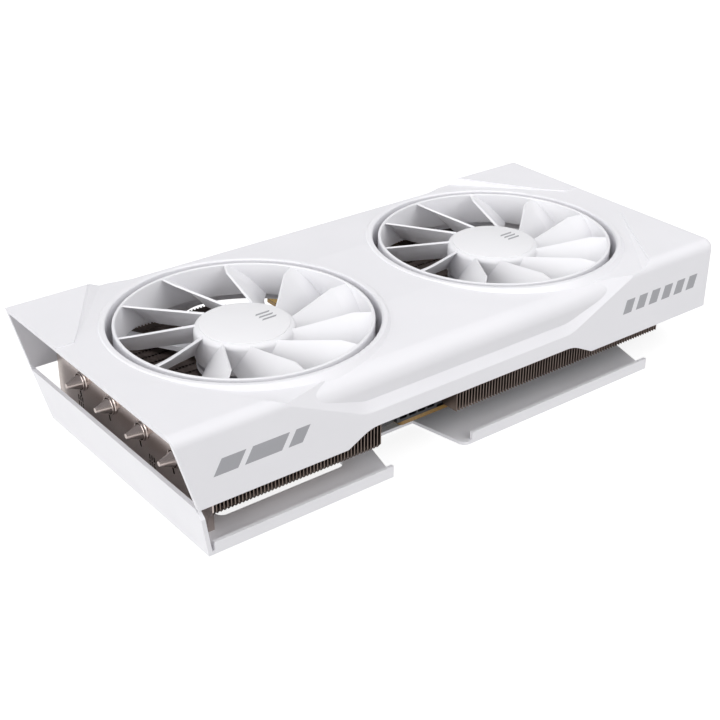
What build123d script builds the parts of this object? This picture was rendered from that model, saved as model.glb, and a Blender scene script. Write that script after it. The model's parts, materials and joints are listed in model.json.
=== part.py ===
"""Dual-fan graphics card: shroud, ring fans, finned heat-pipe cooler, circuit board, bracket and backplate.

+X runs towards the I/O bracket, +Y towards the edge connector, +Z out of the fans.
The origin lies on the backplate's outer face, under the middle of the shroud. Millimetres.
"""

from build123d import *
import math
import os

os.makedirs("parts", exist_ok=True)

# ---------------------------------------------------------------- driving dimensions
CARD_DEPTH = 46.5            # backplate's outer face to the shroud's top
SHROUD_LENGTH = 248.0
SHROUD_WIDTH = 113.0
SHROUD_DROP = 28.3           # height of the shroud's long walls
WALL = 1.8
TAIL_LEAN = 8.2              # how far the open tail edge leans in from top to foot
FAR_FLARE = 4.0              # how far the wall above the edge connector leans out from top to foot

FAN_X = (-60.5, 57.5)        # fan axes, on the card's centre line
FAN_BORE_R = 48.0
RING_R = 45.7
RING_WALL = 1.2
RING_TOP = 46.2
RING_FOOT = 33.2
HUB_R = 18.0
HUB_TOP = 43.4
HUB_FOOT = 31.6
BLADE_COUNT = 11
ARM_TOP = 29.8               # top of the fan frame's base and arms
ARM_FOOT = 28.0
FAN_SCREW_R = 52.4           # radius of the three fan screws

SHEET = 1.3                  # backplate thickness
BOARD_FOOT = 10.0
BOARD_TOP = 11.6
BOARD_LEFT = -25.8
BOARD_RIGHT = 122.0
BOARD_NEAR = -44.4
BOARD_FAR = 56.5
CARD_HEIGHT = 111.15         # top edge of the board to the tips of the edge connector

FIN_TOP = 26.6
FIN_HALF = 53.2
TAIL_FIN_FAR = 50.4          # the tail fins stop short of the far wall
FIN_PITCH = 1.4
FIN_SHEET = 0.4
LEFT_STACK = (-107.8, -41.9)
LEFT_STACK_FOOT = 10.7
RIGHT_STACK = (-7.6, 97.4)
RIGHT_STACK_FOOT = 13.4
RIGHT_STACK_HOLLOW = 17.1    # foot of the right fins above the components

PIPE_R = 3.0
PIPE_TAIL_Z = 22.6
PIPE_TAIL_PITCH = 21.2
PIPE_BASE_Z = 17.0
PIPE_BASE_PITCH = 12.0

GPU_X = 45.0
BRACKET_X = 124.4            # inner face of the I/O bracket
BRACKET_SHEET = 1.0
BRACKET_FOOT = 5.0
BRACKET_SPAN = 38.74         # two expansion slots
SLOT_PITCH = 20.32

SHROUD_FOOT = CARD_DEPTH - SHROUD_DROP
HALF_LENGTH = SHROUD_LENGTH / 2
HALF_WIDTH = SHROUD_WIDTH / 2
COLLAR_R = 49.8
COLLAR_ROUND = 0.6
COLLAR_FOOT = 30.0
SKIRT_DROP = 4.0
SKIRT_TAPER = 40.0
FLOOR_STEP_Z = 28.7          # above this the hollow narrows behind the recesses
MIDDLE_CEILING = 42.3
END_CEILING = 44.4
TAIL_HOLLOW_X = -94.0        # the full-width hollow reaches in to here from each end
HEAD_HOLLOW_X = 86.0
OUTLET_WIDTH = 90.0
OUTLET_TOP = 40.0

SCREW_R = 1.2
SCREW_PLAY = 0.05
BOSS_R = 2.5
FAN_SCREW_GRIP = 6.0
POST_SCREW_GRIP = 7.0
COOLER_SCREW_GRIP = 2.5
FAN_SCREWS = (
    (FAN_X[0], [math.radians(angle) for angle in (0, 120, 240)]),
    (FAN_X[1], [math.radians(angle) for angle in (60, 180, 300)]),
)
LIPS = ((-111.0, -38.6), (-2.3, 89.7))
WINDOW_CENTRE = (-74.0, -1.0)
WINDOW_SIZE = (52.0, 82.0)
ACCESS_R = 3.6
SINK_TAPER = 45.0
RAIL_SHEET = 0.7
PIPE_ROWS = (-1.5, -0.5, 0.5, 1.5)
CHOKE_START = 0.0
CHOKE_STEP = 12.0
EAR_SCREWS = ((119.2, -34.0), (119.2, 50.6))
NOTCH_WIDTH = 4.4            # case screw notches of the bracket
SPRING_FOOT = 5.6            # top of the cooler screw heads
POSTS = ((-14.4, -26.0), (-14.4, 33.0), (105.0, -24.0), (112.4, 51.6))
COOLER_SCREWS = ((14.0, -26.0), (14.0, 26.0), (76.0, -26.0), (76.0, 26.0))
STACK_POSTS = ((-106.1, -45.0), (-106.1, 44.0))
STACK_POST_R = 2.2


def save(builder, name):
    """Label one finished sub-part and write it."""
    builder.part.label = name
    export_step(builder.part, f"parts/{name}.step")


# ---------------------------------------------------------------- fan shroud
STEP = 0.4                   # the centre panel lies this far below the corner panels
EDGE_FALL = 2.0              # further fall of the centre panel to its long edges
FOLD_FAR = 24.0
FOLD_NEAR = -21.0
TOP_ROUND = (4.0, 1.0)       # rounding of the near and far long top edges
HEAD_ROUND = 3.0             # rounding of the upright edges towards the bracket
RECESS = 2.3                 # depth of the long recess in each side wall
RECESS_FACE = HALF_WIDTH - RECESS
RECESS_CORNERS = (-50.5, 45.5)
RECESS_FALL = 17.5           # the recess's lower edge lies this far below the top
RECESS_SLANT = 2.16          # run of its slanting ends along the card for each millimetre of height
BULGE_TOP = 44.5             # the near recess starts flush with the wall at this height
BULGE_FOOT = 32.0            # and reaches its full depth at this one
BULGE_ROUND = 6.0            # rounding of the top edge along the near recess
FACET_TAPER = 58.0
RECESS_TAPER = 60.0
RECESS_ROUND = (0.8, 1.5)    # rounding of both recesses' outer edges and the far one's inner edges
OVERCUT = 5.0
OUTSIDE_Y = HALF_WIDTH + FAR_FLARE + 1     # start of the cuts made right across the shroud

centre_panel_outline = (
    (-130.0, 17.6), (-117.0, 17.6), (-112.2, 24.3), (-87.8, 62.0), (84.5, 62.0), (108.2, 24.3),
    (115.0, 17.0), (130.0, 17.0), (130.0, -14.3), (115.5, -14.3), (82.6, -62.0), (-82.1, -62.0),
    (-111.5, -20.5), (-117.5, -14.0), (-130.0, -14.0),
)
far_slope_outline = ((-117.9, 15.0), (-87.8, 62.0), (84.5, 62.0), (114.0, 15.0))
near_slope_outline = ((-115.4, -15.0), (-82.1, -62.0), (82.6, -62.0), (115.0, -15.0))


def slope_cutter(outline, fold_y, edge_y):
    """Wedge above one sloping side of the centre panel, with faceted ends."""
    top = CARD_DEPTH - STEP
    with BuildPart() as cutter:
        with BuildSketch(Plane.YZ.offset(-HALF_LENGTH)):
            with BuildLine():
                Polyline((fold_y, top), (edge_y, top - EDGE_FALL), (edge_y, top + OVERCUT),
                         (fold_y, top + OVERCUT), close=True)
            make_face()
        extrude(amount=SHROUD_LENGTH)
        with BuildSketch(Plane.XY.offset(CARD_DEPTH)):
            with BuildLine():
                Polyline(*outline, close=True)
            make_face()
        extrude(amount=-OVERCUT, taper=FACET_TAPER, mode=Mode.INTERSECT)
    return cutter.part


def recess_cutter(depth, rise):
    """Bevelled block for a side wall recess on the near wall, from its lower edge up by rise."""
    left, right = RECESS_CORNERS
    run = RECESS_SLANT * rise
    with BuildPart() as cutter:
        with BuildSketch(Plane((0, -HALF_WIDTH, CARD_DEPTH), x_dir=(1, 0, 0), z_dir=(0, 1, 0))):
            with BuildLine():
                Polyline((left - run, RECESS_FALL - rise), (left, RECESS_FALL), (right, RECESS_FALL),
                         (right + run, RECESS_FALL - rise), close=True)
            make_face()
            fillet(vertices().group_by(Axis.Y)[-1], 14.0)
        extrude(amount=depth, taper=RECESS_TAPER)
    return cutter.part


def bulge_cutter():
    """Room outside the near wall's bulge: a wide rounding, then a wall that falls inwards."""
    inward = RECESS / (BULGE_TOP - BULGE_FOOT)
    fall = EDGE_FALL / (HALF_WIDTH + 2 + FOLD_NEAR)
    flush_z = CARD_DEPTH - STEP - fall * (HALF_WIDTH + FOLD_NEAR)
    corner_z = (flush_z + fall * inward * BULGE_TOP) / (1 + fall * inward)
    corner = Vector(-HALF_WIDTH + inward * (BULGE_TOP - corner_z), corner_z)
    along_top = Vector(1, fall).normalized()
    down_wall = Vector(inward, -1).normalized()
    half_angle = math.radians(along_top.get_angle(down_wall)) / 2
    reach = BULGE_ROUND / math.tan(half_angle)
    start = corner + along_top * reach
    end = corner + down_wall * reach
    bisector = (along_top + down_wall).normalized()
    middle = corner + bisector * (BULGE_ROUND / math.sin(half_angle) - BULGE_ROUND)
    foot = corner + down_wall * SHROUD_DROP
    outside = -HALF_WIDTH - OVERCUT
    with BuildPart() as cutter:
        with BuildSketch(Plane.YZ.offset(-HALF_LENGTH)):
            with BuildLine():
                ThreePointArc(start, middle, end)
                Polyline(end, foot, (outside, foot.Y), (outside, CARD_DEPTH + OVERCUT),
                         (start.X, CARD_DEPTH + OVERCUT), start)
            make_face()
        extrude(amount=SHROUD_LENGTH)
    return cutter.part


def flare(height):
    """Outward shift of the far wall at one height above the backplate's outer face."""
    return FAR_FLARE * (CARD_DEPTH - height) / SHROUD_DROP


def upright(height):
    """Outward shift of the near wall: none at any height."""
    return 0.0


def recess_edges(builder, wall_y, lean):
    """Lower and slanting edges of a side wall recess, on the plane y = wall_y + lean(height)."""
    found = []
    for edge in builder.edges():
        middle = edge.center()
        inside = all(28.0 < corner.Z < 44.6 for corner in edge.vertices())
        if abs(middle.Y - wall_y - lean(middle.Z)) < 0.05 and 28.0 < middle.Z < 41.0 and inside:
            found.append(edge)
    return found


def hollow(start_x, end_x, foot, ceiling):
    """Room between the side walls, from one height to another; its far side follows the leaning wall."""
    with BuildPart() as room:
        with BuildSketch(Plane.YZ.offset(start_x)):
            with BuildLine():
                Polyline((-HALF_WIDTH + WALL, foot), (HALF_WIDTH - WALL + flare(foot), foot),
                         (HALF_WIDTH - WALL + flare(ceiling), ceiling), (-HALF_WIDTH + WALL, ceiling),
                         close=True)
            make_face()
        extrude(amount=end_x - start_x)
    return room.part


near_recess = recess_cutter(BULGE_ROUND + 2, 2 * SHROUD_DROP) & bulge_cutter()
far_edge = Axis((0, HALF_WIDTH, CARD_DEPTH), (1, 0, 0))
far_lean = math.degrees(math.atan(FAR_FLARE / SHROUD_DROP))
far_recess = mirror(recess_cutter(RECESS, RECESS_FALL + OVERCUT), about=Plane.XZ)
far_recess = far_recess.rotate(far_edge, far_lean)
far_slope = slope_cutter(far_slope_outline, FOLD_FAR, HALF_WIDTH + 2)
near_slope = slope_cutter(near_slope_outline, FOLD_NEAR, -HALF_WIDTH - 2)
low_hollow = hollow(-HALF_LENGTH - 1, HALF_LENGTH - WALL, SHROUD_FOOT, FLOOR_STEP_Z)
tail_hollow = hollow(-HALF_LENGTH - 1, TAIL_HOLLOW_X, FLOOR_STEP_Z - 0.01, END_CEILING)
head_hollow = hollow(HEAD_HOLLOW_X, HALF_LENGTH - WALL, FLOOR_STEP_Z - 0.01, END_CEILING)

with BuildPart() as fan_shroud:
    with BuildSketch(Plane.YZ.offset(-HALF_LENGTH)):
        with BuildLine():
            Polyline((-HALF_WIDTH, SHROUD_FOOT), (HALF_WIDTH + FAR_FLARE, SHROUD_FOOT),
                     (HALF_WIDTH, CARD_DEPTH), (-HALF_WIDTH, CARD_DEPTH), close=True)
        make_face()
    extrude(amount=SHROUD_LENGTH)
    long_top_edges = fan_shroud.edges().filter_by(Axis.X).group_by(Axis.Z)[-1].sort_by(Axis.Y)
    for top_edge, round_r in zip(long_top_edges, TOP_ROUND):
        fillet(top_edge, round_r)
    head_edges = fan_shroud.edges().group_by(Axis.X)[-1].filter_by(GeomType.LINE)
    fillet(head_edges.filter_by(Axis.Y, reverse=True), HEAD_ROUND)
    add(near_recess, mode=Mode.SUBTRACT)
    add(far_recess, mode=Mode.SUBTRACT)
    # centre panel, one step down, with sloping sides
    with BuildSketch(Plane.XY.offset(CARD_DEPTH)):
        with BuildLine():
            Polyline(*centre_panel_outline, close=True)
        make_face()
    extrude(amount=-STEP, mode=Mode.SUBTRACT)
    add(far_slope, mode=Mode.SUBTRACT)
    add(near_slope, mode=Mode.SUBTRACT)
    fillet(recess_edges(fan_shroud, -HALF_WIDTH, upright), RECESS_ROUND[0])
    fillet(recess_edges(fan_shroud, HALF_WIDTH, flare), RECESS_ROUND[0])
    fillet(recess_edges(fan_shroud, RECESS_FACE, flare), RECESS_ROUND[1])
    # hollow inside: full width low down and at the ends, narrower behind the recesses
    add(low_hollow, mode=Mode.SUBTRACT)
    with BuildSketch(Plane.XY.offset(FLOOR_STEP_Z - 0.01)):
        Rectangle(SHROUD_LENGTH - 2 * WALL, 2 * (RECESS_FACE - WALL))
    extrude(amount=MIDDLE_CEILING - FLOOR_STEP_Z, mode=Mode.SUBTRACT)
    add(tail_hollow, mode=Mode.SUBTRACT)
    add(head_hollow, mode=Mode.SUBTRACT)
    # collars and fan screw bosses
    for fan_x, screw_angles in FAN_SCREWS:
        with BuildSketch(Plane((fan_x, 0, COLLAR_FOOT))):
            Circle(COLLAR_R)
        extrude(amount=CARD_DEPTH - COLLAR_FOOT)
        with BuildSketch(Plane((fan_x, 0, ARM_TOP))):
            for angle in screw_angles:
                with Locations((FAN_SCREW_R * math.cos(angle), FAN_SCREW_R * math.sin(angle))):
                    Circle(BOSS_R)
        extrude(amount=MIDDLE_CEILING + 0.5 - ARM_TOP)
        # low conical skirt that lifts each collar out of the sloping panel
        with BuildSketch(Plane((fan_x, 0, CARD_DEPTH), x_dir=(1, 0, 0), z_dir=(0, 0, -1))):
            Circle(COLLAR_R + 0.2)
        extrude(amount=SKIRT_DROP, taper=-SKIRT_TAPER)
    # fan bores and fan screw holes
    for fan_x, screw_angles in FAN_SCREWS:
        with BuildSketch(Plane((fan_x, 0, ARM_TOP - 1))):
            Circle(FAN_BORE_R)
        extrude(amount=CARD_DEPTH, mode=Mode.SUBTRACT)
        with BuildSketch(Plane((fan_x, 0, ARM_TOP))):
            for angle in screw_angles:
                with Locations((FAN_SCREW_R * math.cos(angle), FAN_SCREW_R * math.sin(angle))):
                    Circle(SCREW_R + SCREW_PLAY)
        extrude(amount=FAN_SCREW_GRIP + 0.5, mode=Mode.SUBTRACT)
    fillet(fan_shroud.edges().filter_by(GeomType.CIRCLE).group_by(Axis.Z)[-1], COLLAR_ROUND)
    # raised middle of both long lower edges
    with BuildSketch(Plane((0, OUTSIDE_Y, SHROUD_FOOT), x_dir=(1, 0, 0), z_dir=(0, -1, 0))):
        with BuildLine():
            Polyline((-75.0, -5.0), (-75.0, 0.0), (-58.0, 0.0), (-48.5, 5.0), (47.0, 5.0),
                     (57.0, 0.0), (75.0, 0.0), (75.0, -5.0), close=True)
        make_face()
        fillet(vertices().group_by(Axis.Y)[-1], 14.0)
    extrude(amount=2 * OUTSIDE_Y, mode=Mode.SUBTRACT)
    # leaning open tail edge
    with BuildSketch(Plane((0, OUTSIDE_Y, 0), x_dir=(1, 0, 0), z_dir=(0, -1, 0))):
        with BuildLine():
            Polyline((-HALF_LENGTH, CARD_DEPTH), (-HALF_LENGTH + TAIL_LEAN, SHROUD_FOOT),
                     (-HALF_LENGTH + TAIL_LEAN, SHROUD_FOOT - 1), (-HALF_LENGTH - 5, SHROUD_FOOT - 1),
                     (-HALF_LENGTH - 5, CARD_DEPTH), close=True)
        make_face()
    extrude(amount=2 * OUTSIDE_Y, mode=Mode.SUBTRACT)
    # mounting posts down to the circuit board
    with BuildSketch(Plane.XY.offset(BOARD_TOP)):
        with Locations(*POSTS):
            Circle(BOSS_R)
    extrude(amount=END_CEILING + 0.3 - BOARD_TOP)
    with BuildSketch(Plane.XY.offset(BOARD_TOP)):
        with Locations(*POSTS):
            Circle(SCREW_R + SCREW_PLAY)
    extrude(amount=POST_SCREW_GRIP + 0.5, mode=Mode.SUBTRACT)
    # air outlet in the end wall, towards the bracket
    with BuildSketch(Plane.YZ.offset(HALF_LENGTH - 2 * WALL)):
        with Locations((0, (SHROUD_FOOT + OUTLET_TOP) / 2)):
            Rectangle(OUTLET_WIDTH, OUTLET_TOP - SHROUD_FOOT)
    extrude(amount=3 * WALL, mode=Mode.SUBTRACT)
save(fan_shroud, "fan_shroud")


# ---------------------------------------------------------------- backplate
FLANGE_X = -113.3            # foot of the leaning tail flange
FLANGE_LEAN = 2.5
FLANGE_HEIGHT = 17.8
LIP_HEIGHT = 4.5
PLATE_NEAR = -56.6
PLATE_FAR = 51.1
FLANGE_FAR = 59.7            # far top corner of the tail flange, under the foot of the far wall
SINK_R = 2.4                 # countersunk screw heads, flush with the outer face
SINK_DEPTH = 1.2
flange_rise = math.hypot(FLANGE_LEAN, FLANGE_HEIGHT)

with BuildPart() as backplate:
    with BuildSketch():
        with BuildLine():
            Polyline((FLANGE_X, PLATE_NEAR), (-39.2, PLATE_NEAR), (-32.8, -33.0), (-10.5, -33.0),
                     (-6.0, PLATE_NEAR), (88.2, PLATE_NEAR), (96.1, -30.0), (121.0, -30.0),
                     (121.0, PLATE_FAR), (FLANGE_X, PLATE_FAR), close=True)
        make_face()
        fillet(vertices().sort_by_distance((-6.0, PLATE_NEAR))[0], 3.0)
        fillet(vertices().sort_by_distance((121.0, PLATE_FAR))[0], 5.0)
    extrude(amount=SHEET)
    # turned-up near lips
    with BuildSketch():
        for lip_start, lip_end in LIPS:
            with Locations(((lip_start + lip_end) / 2, PLATE_NEAR + SHEET / 2)):
                Rectangle(lip_end - lip_start, SHEET)
    extrude(amount=LIP_HEIGHT)
    # leaning tail flange
    with BuildSketch(Plane((FLANGE_X, 0, 0), x_dir=(0, 1, 0), z_dir=(FLANGE_HEIGHT, 0, FLANGE_LEAN))):
        with BuildLine():
            Polyline((PLATE_NEAR, 0), (PLATE_FAR, 0), (FLANGE_FAR, flange_rise),
                     (PLATE_NEAR + 2.5, flange_rise), (PLATE_NEAR, flange_rise - 3.5), close=True)
        make_face()
    extrude(amount=SHEET + 0.2)
    # flow-through window, cooler screw access holes and countersunk screw holes
    with BuildSketch():
        with Locations(WINDOW_CENTRE):
            RectangleRounded(*WINDOW_SIZE, 3.0)
        with Locations(*COOLER_SCREWS):
            Circle(ACCESS_R)
        with Locations(*POSTS, *STACK_POSTS):
            Circle(SCREW_R + SCREW_PLAY)
    extrude(amount=SHEET, mode=Mode.SUBTRACT)
    with BuildSketch():
        with Locations(*POSTS, *STACK_POSTS):
            Circle(SINK_R + 0.1)
    extrude(amount=SINK_DEPTH, taper=SINK_TAPER, mode=Mode.SUBTRACT)
save(backplate, "backplate")


# ---------------------------------------------------------------- circuit board
FINGER_TIP = BOARD_NEAR + CARD_HEIGHT
FINGERS = ((66.8, 78.5), (-6.3, 64.9))      # short and long runs of the edge connector
CONTACT_SHEET = 0.08
CONTACT_LENGTH = 5.0

with BuildPart() as circuit_board:
    with BuildSketch(Plane.XY.offset(BOARD_FOOT)):
        with BuildLine():
            Polyline((BOARD_LEFT, BOARD_NEAR), (BOARD_RIGHT, BOARD_NEAR), (BOARD_RIGHT, BOARD_FAR),
                     (BOARD_LEFT, BOARD_FAR), close=True)
        make_face()
        fillet(vertices().group_by(Axis.X)[0], 1.5)
        for run_start, run_end in FINGERS:
            with Locations(((run_start + run_end) / 2, (BOARD_FAR + FINGER_TIP) / 2 - 0.5)):
                Rectangle(run_end - run_start, FINGER_TIP - BOARD_FAR + 1)
        # retention hook beside the long run
        with Locations((-13.5, BOARD_FAR + 2.5)):
            Rectangle(5.0, 6.0)
        with Locations((-16.5, BOARD_FAR + 4.5)):
            Rectangle(3.0, 2.0)
        with Locations(*POSTS, *COOLER_SCREWS):
            Circle(SCREW_R + 0.3, mode=Mode.SUBTRACT)
        with Locations(*EAR_SCREWS):
            Circle(SCREW_R + SCREW_PLAY, mode=Mode.SUBTRACT)
    extrude(amount=BOARD_TOP - BOARD_FOOT)
save(circuit_board, "circuit_board")

with BuildPart() as edge_contacts:
    for contact_foot in (BOARD_TOP, BOARD_FOOT - CONTACT_SHEET):
        with BuildSketch(Plane.XY.offset(contact_foot)):
            for run_start, run_end in FINGERS:
                count = int(run_end - run_start)
                with Locations(((run_start + run_end) / 2, FINGER_TIP - 0.8 - CONTACT_LENGTH / 2)):
                    with GridLocations(1.0, 1.0, count, 1):
                        Rectangle(0.7, CONTACT_LENGTH)
        extrude(amount=CONTACT_SHEET)
save(edge_contacts, "edge_contacts")


# ---------------------------------------------------------------- parts on the board
PACKAGE_TOP = BOARD_TOP + 1.1
DIE_TOP = PACKAGE_TOP + 0.75
MEMORY_SITES = (
    (17, -10), (17, 10), (73, -10), (73, 10),
    (36, -27.5), (54, -27.5), (36, 27.5), (54, 27.5),
)


def board_blocks(foot, height, sites, width, depth, corner=0.4):
    """A group of equal chips or blocks standing on one level."""
    with BuildPart() as group:
        with BuildSketch(Plane.XY.offset(foot)):
            with Locations(*sites):
                RectangleRounded(width, depth, corner)
        extrude(amount=height)
    return group


gpu_package = board_blocks(BOARD_TOP, PACKAGE_TOP - BOARD_TOP, ((GPU_X, 0),), 37.0, 37.0)
save(gpu_package, "gpu_package")
gpu_die = board_blocks(PACKAGE_TOP, DIE_TOP - PACKAGE_TOP, ((GPU_X, 0),), 18.0, 15.0, 0.2)
save(gpu_die, "gpu_die")
memory_chips = board_blocks(BOARD_TOP, PACKAGE_TOP - BOARD_TOP, MEMORY_SITES, 13.0, 12.0)
save(memory_chips, "memory_chips")
thermal_pads = board_blocks(PACKAGE_TOP, DIE_TOP - PACKAGE_TOP, MEMORY_SITES, 12.0, 11.0)
save(thermal_pads, "thermal_pads")
choke_sites = [(CHOKE_START + CHOKE_STEP * step, 40.0) for step in range(8)]
power_chokes = board_blocks(BOARD_TOP, 4.8, choke_sites, 7.6, 7.6, 1.2)
save(power_chokes, "power_chokes")
stage_sites = [(CHOKE_START + CHOKE_STEP * step, 49.0) for step in range(8)]
power_stages = board_blocks(BOARD_TOP, 0.9, stage_sites, 5.0, 6.0, 0.2)
save(power_stages, "power_stages")

with BuildPart() as capacitors:
    with BuildSketch(Plane.XY.offset(BOARD_TOP)):
        with Locations(*[(CHOKE_START + CHOKE_STEP * step, -40.0) for step in range(8)]):
            Circle(2.6)
    extrude(amount=4.8)
    fillet(capacitors.edges().group_by(Axis.Z)[-1], 0.5)
save(capacitors, "capacitors")

# eight-way power inlet, opening towards -Y
INLET_X = -18.2
INLET_DEPTH = 12.8
INLET_HEIGHT = 9.8
INLET_PITCH = 4.2
INLET_MID_Z = BOARD_TOP + INLET_HEIGHT / 2
with BuildPart() as power_inlet:
    with BuildSketch(Plane((INLET_X, BOARD_NEAR, INLET_MID_Z), x_dir=(1, 0, 0), z_dir=(0, -1, 0))):
        Rectangle(4 * INLET_PITCH + 1.6, INLET_HEIGHT)
    extrude(amount=-INLET_DEPTH)
    with BuildSketch(Plane((INLET_X, BOARD_NEAR, INLET_MID_Z), x_dir=(1, 0, 0), z_dir=(0, -1, 0))):
        with GridLocations(INLET_PITCH, INLET_PITCH, 4, 2):
            RectangleRounded(3.5, 3.5, 0.6)
    extrude(amount=-9.5, mode=Mode.SUBTRACT)
    # latch ramp
    with BuildSketch(Plane.YZ.offset(INLET_X - 2.0)):
        with BuildLine():
            Polyline((BOARD_NEAR + 1.0, BOARD_TOP + INLET_HEIGHT),
                     (BOARD_NEAR + 4.0, BOARD_TOP + INLET_HEIGHT),
                     (BOARD_NEAR + 4.0, BOARD_TOP + INLET_HEIGHT + 1.2), close=True)
        make_face()
    extrude(amount=4.0)
save(power_inlet, "power_inlet")

with BuildPart() as power_pins:
    with BuildSketch(Plane((INLET_X, BOARD_NEAR + 2.0, INLET_MID_Z), x_dir=(1, 0, 0), z_dir=(0, -1, 0))):
        with GridLocations(INLET_PITCH, INLET_PITCH, 4, 2):
            RectangleRounded(1.3, 1.3, 0.2)
    extrude(amount=-7.5)
save(power_pins, "power_pins")


# ---------------------------------------------------------------- stiffening frame
FRAME_FOOT = 11.9
FRAME_TOP = 13.1
with BuildPart() as stiffening_frame:
    with BuildSketch(Plane.XY.offset(FRAME_FOOT)):
        with BuildLine():
            Polyline((-41.2, -43.5), (104.0, -43.5), (104.0, 54.0), (-41.2, 54.0), close=True)
        make_face()
        with Locations((44.0, 4.5)):
            RectangleRounded(100.0, 83.0, 3.0, mode=Mode.SUBTRACT)
        with Locations((CHOKE_START + 3.5 * CHOKE_STEP, 47.0)):
            Rectangle(8 * CHOKE_STEP, 11.0, mode=Mode.SUBTRACT)
        with Locations((CHOKE_START + 3.5 * CHOKE_STEP, -40.0)):
            Rectangle(8 * CHOKE_STEP, 6.0, mode=Mode.SUBTRACT)
        with Locations((INLET_X, -37.5)):
            Rectangle(20.0, 16.0, mode=Mode.SUBTRACT)
        with Locations(*POSTS[:3]):
            Circle(BOSS_R + 0.4, mode=Mode.SUBTRACT)
    extrude(amount=FRAME_TOP - FRAME_FOOT)
    with BuildSketch(Plane.XY.offset(FRAME_FOOT)):
        with Locations((-35.1, -42.9)):
            Rectangle(12.2, 1.2)
    extrude(amount=10.6)
save(stiffening_frame, "stiffening_frame")


# ---------------------------------------------------------------- cooler
BASE_SIZE = (78.0, 70.0)
with BuildPart() as cold_plate:
    with BuildSketch(Plane.XY.offset(DIE_TOP)):
        with Locations((GPU_X, 0)):
            RectangleRounded(*BASE_SIZE, 1.5)
    extrude(amount=PIPE_BASE_Z - DIE_TOP)
    with BuildSketch(Plane.YZ.offset(GPU_X - BASE_SIZE[0])):
        with Locations(*[(PIPE_BASE_PITCH * row, PIPE_BASE_Z) for row in PIPE_ROWS]):
            Circle(PIPE_R + 0.05)
    extrude(amount=2 * BASE_SIZE[0], mode=Mode.SUBTRACT)
    with BuildSketch(Plane.XY.offset(DIE_TOP)):
        with Locations(*COOLER_SCREWS):
            Circle(SCREW_R + SCREW_PLAY)
    extrude(amount=COOLER_SCREW_GRIP, mode=Mode.SUBTRACT)
save(cold_plate, "cold_plate")


# one plate of the tail stack, drawn flat: local x is the card's Y, local y is its Z
with BuildSketch() as tail_fin_outline:
    with BuildLine():
        Polyline((-FIN_HALF + 1.8, LEFT_STACK_FOOT), (TAIL_FIN_FAR, LEFT_STACK_FOOT), (TAIL_FIN_FAR, FIN_TOP),
                 (-FIN_HALF, FIN_TOP), (-FIN_HALF, LEFT_STACK_FOOT + 2.2), close=True)
    make_face()
    with Locations(*[(PIPE_TAIL_PITCH * row, PIPE_TAIL_Z) for row in PIPE_ROWS]):
        Circle(PIPE_R + 0.05, mode=Mode.SUBTRACT)

LADDERS = (-16.2, 34.0)      # groups of small punched slots in the end fin
with BuildPart() as tail_end_fin:
    with BuildSketch(Plane.YZ.offset(LEFT_STACK[0] - FIN_PITCH)):
        add(tail_fin_outline.sketch)
        with Locations(*[(PIPE_TAIL_PITCH * row + 1.7, PIPE_TAIL_Z - 5.3) for row in PIPE_ROWS]):
            SlotOverall(3.4, 1.1, rotation=75, mode=Mode.SUBTRACT)
        for ladder_y in LADDERS:
            with Locations((ladder_y, LEFT_STACK_FOOT + 2.7)):
                with GridLocations(1.5, 2.5, 3, 2):
                    Rectangle(0.8, 2.0, mode=Mode.SUBTRACT)
    extrude(amount=0.6)
save(tail_end_fin, "tail_end_fin")

with BuildPart() as tail_fins:
    for number in range(int((LEFT_STACK[1] - LEFT_STACK[0]) / FIN_PITCH) + 1):
        with BuildSketch(Plane.YZ.offset(LEFT_STACK[0] + number * FIN_PITCH)):
            add(tail_fin_outline.sketch)
    extrude(amount=FIN_SHEET)
save(tail_fins, "tail_fins")

with BuildPart() as tail_rails:
    with BuildSketch(Plane.XY.offset(LEFT_STACK_FOOT - RAIL_SHEET)):
        with Locations(*[((LEFT_STACK[0] + LEFT_STACK[1]) / 2, post_y) for post_x, post_y in STACK_POSTS]):
            Rectangle(LEFT_STACK[1] - LEFT_STACK[0] - 1, 6.5)
    extrude(amount=RAIL_SHEET)
save(tail_rails, "tail_rails")

with BuildPart() as tail_posts:
    with BuildSketch(Plane.XY.offset(SHEET)):
        with Locations(*STACK_POSTS):
            RegularPolygon(STACK_POST_R, 6)
            Circle(SCREW_R + SCREW_PLAY, mode=Mode.SUBTRACT)
    extrude(amount=LEFT_STACK_FOOT - RAIL_SHEET - SHEET)
save(tail_posts, "tail_posts")

with BuildSketch() as head_fin_outline:
    with BuildLine():
        Polyline((-FIN_HALF, RIGHT_STACK_FOOT), (-46.0, RIGHT_STACK_FOOT), (-44.0, RIGHT_STACK_HOLLOW),
                 (46.0, RIGHT_STACK_HOLLOW), (48.0, RIGHT_STACK_FOOT), (FIN_HALF, RIGHT_STACK_FOOT),
                 (FIN_HALF, FIN_TOP), (-FIN_HALF, FIN_TOP), close=True)
    make_face()
    with Locations(*[(PIPE_BASE_PITCH * row, PIPE_BASE_Z) for row in PIPE_ROWS]):
        Circle(PIPE_R + 0.05, mode=Mode.SUBTRACT)

with BuildPart() as head_fins:
    for number in range(int((RIGHT_STACK[1] - RIGHT_STACK[0]) / FIN_PITCH) + 1):
        with BuildSketch(Plane.YZ.offset(RIGHT_STACK[0] + number * FIN_PITCH)):
            add(head_fin_outline.sketch)
    extrude(amount=FIN_SHEET)
save(head_fins, "head_fins")

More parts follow.
